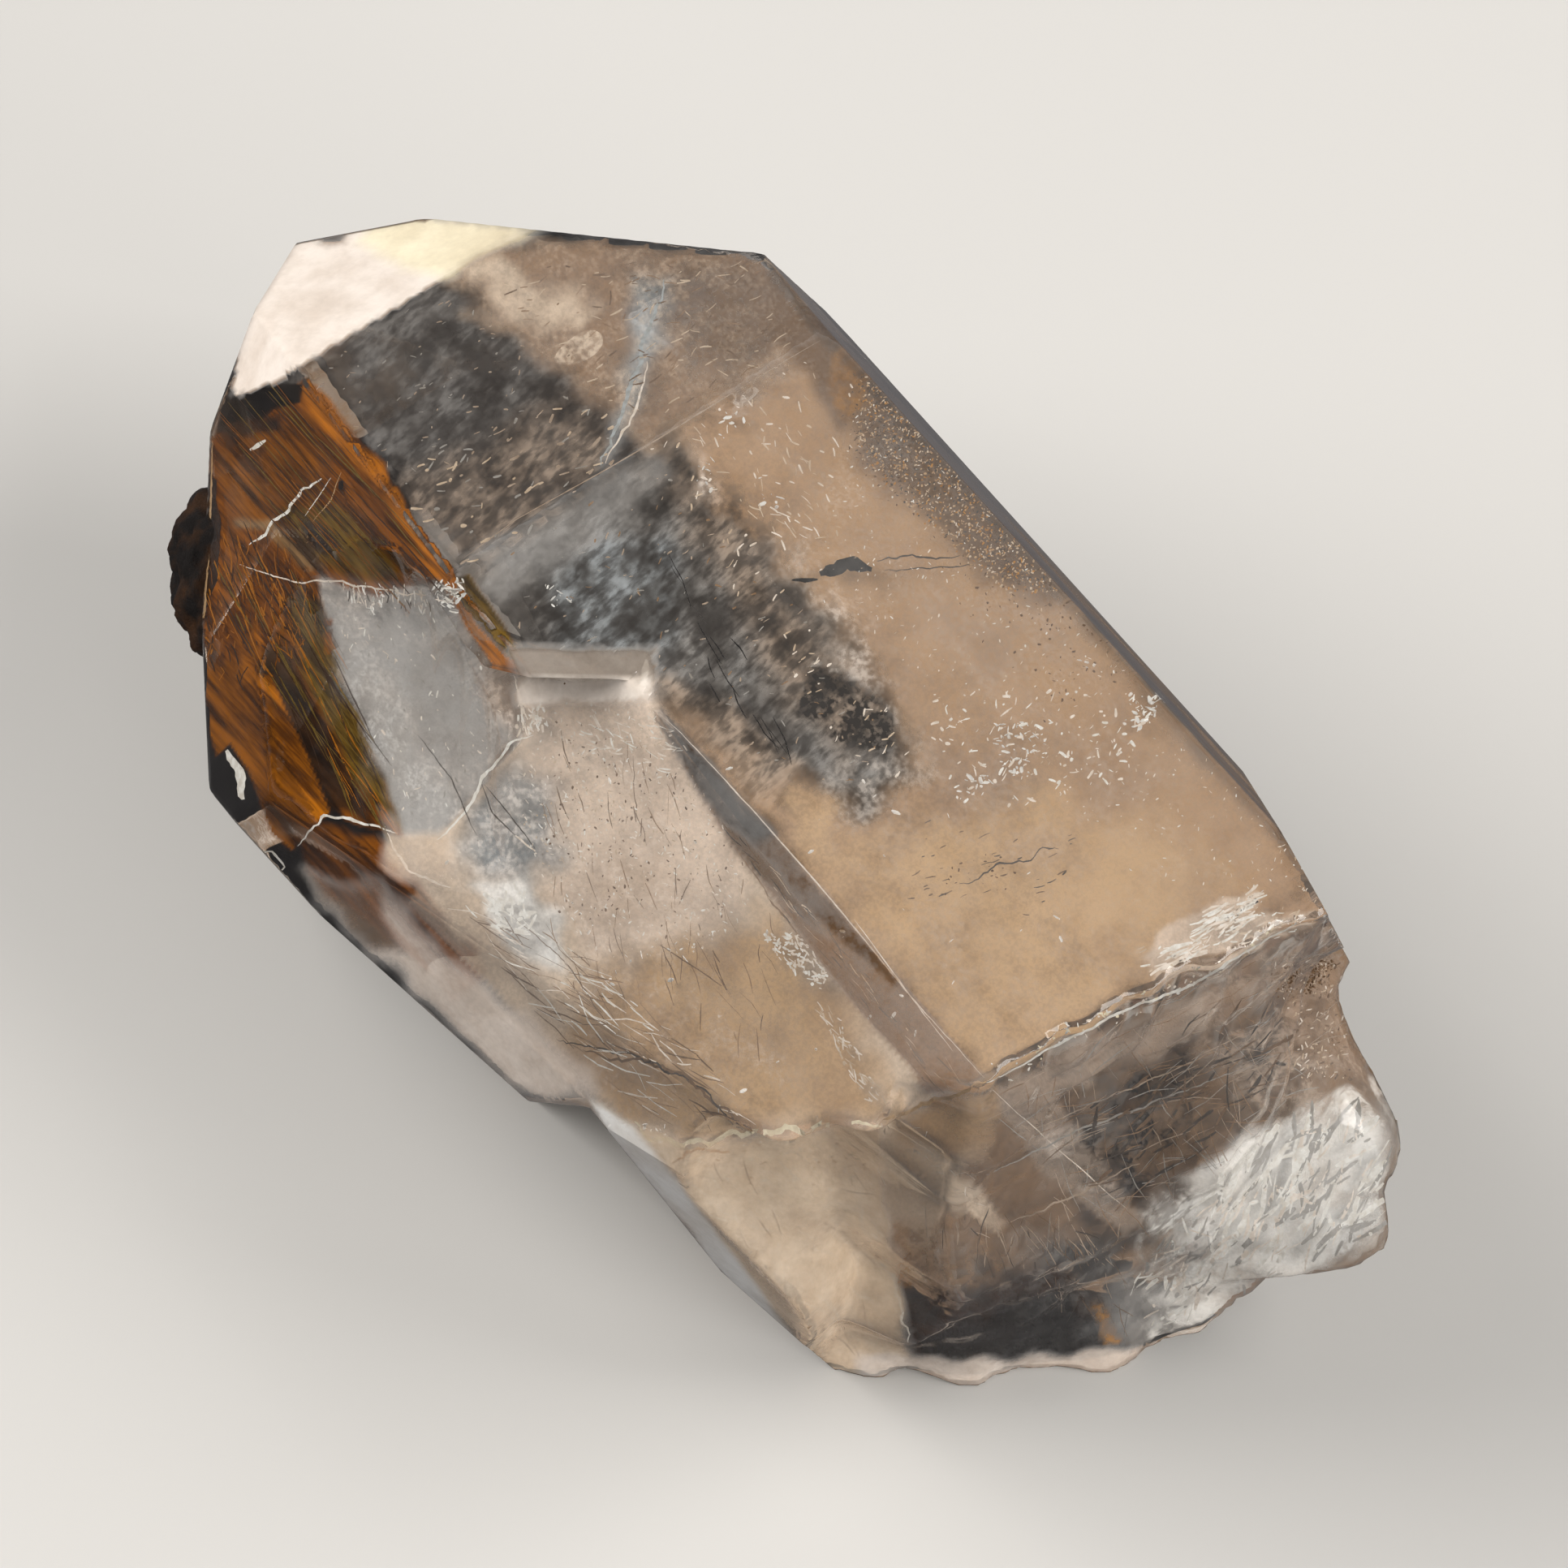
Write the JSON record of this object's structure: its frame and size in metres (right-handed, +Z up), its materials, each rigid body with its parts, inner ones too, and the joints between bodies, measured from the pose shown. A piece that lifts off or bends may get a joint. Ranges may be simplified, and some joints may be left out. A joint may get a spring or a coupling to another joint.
{
  "type": "quartz point",
  "caption": "Six-sided quartz crystal with a worn point and a broken root, lying on a prism face, with iron staining and cloudy veils.",
  "frame": {"origin": "on the resting plane, under the middle of the crystal's bounding box", "axes": "+X along the crystal's length from its point towards its broken root, +Z up from the prism face it rests on, +Y across it, away from the side with the chip and the iron crust"},
  "size_m": [0.0568, 0.0332, 0.03],
  "materials": {
    "quartz": "clear natural crystal with flat glassy faces, one frosted face, a rough broken root and an iron-stained front"
  },
  "bodies": {
    "root": {"quartz_point": "quartz"}
  },
  "joints": []
}
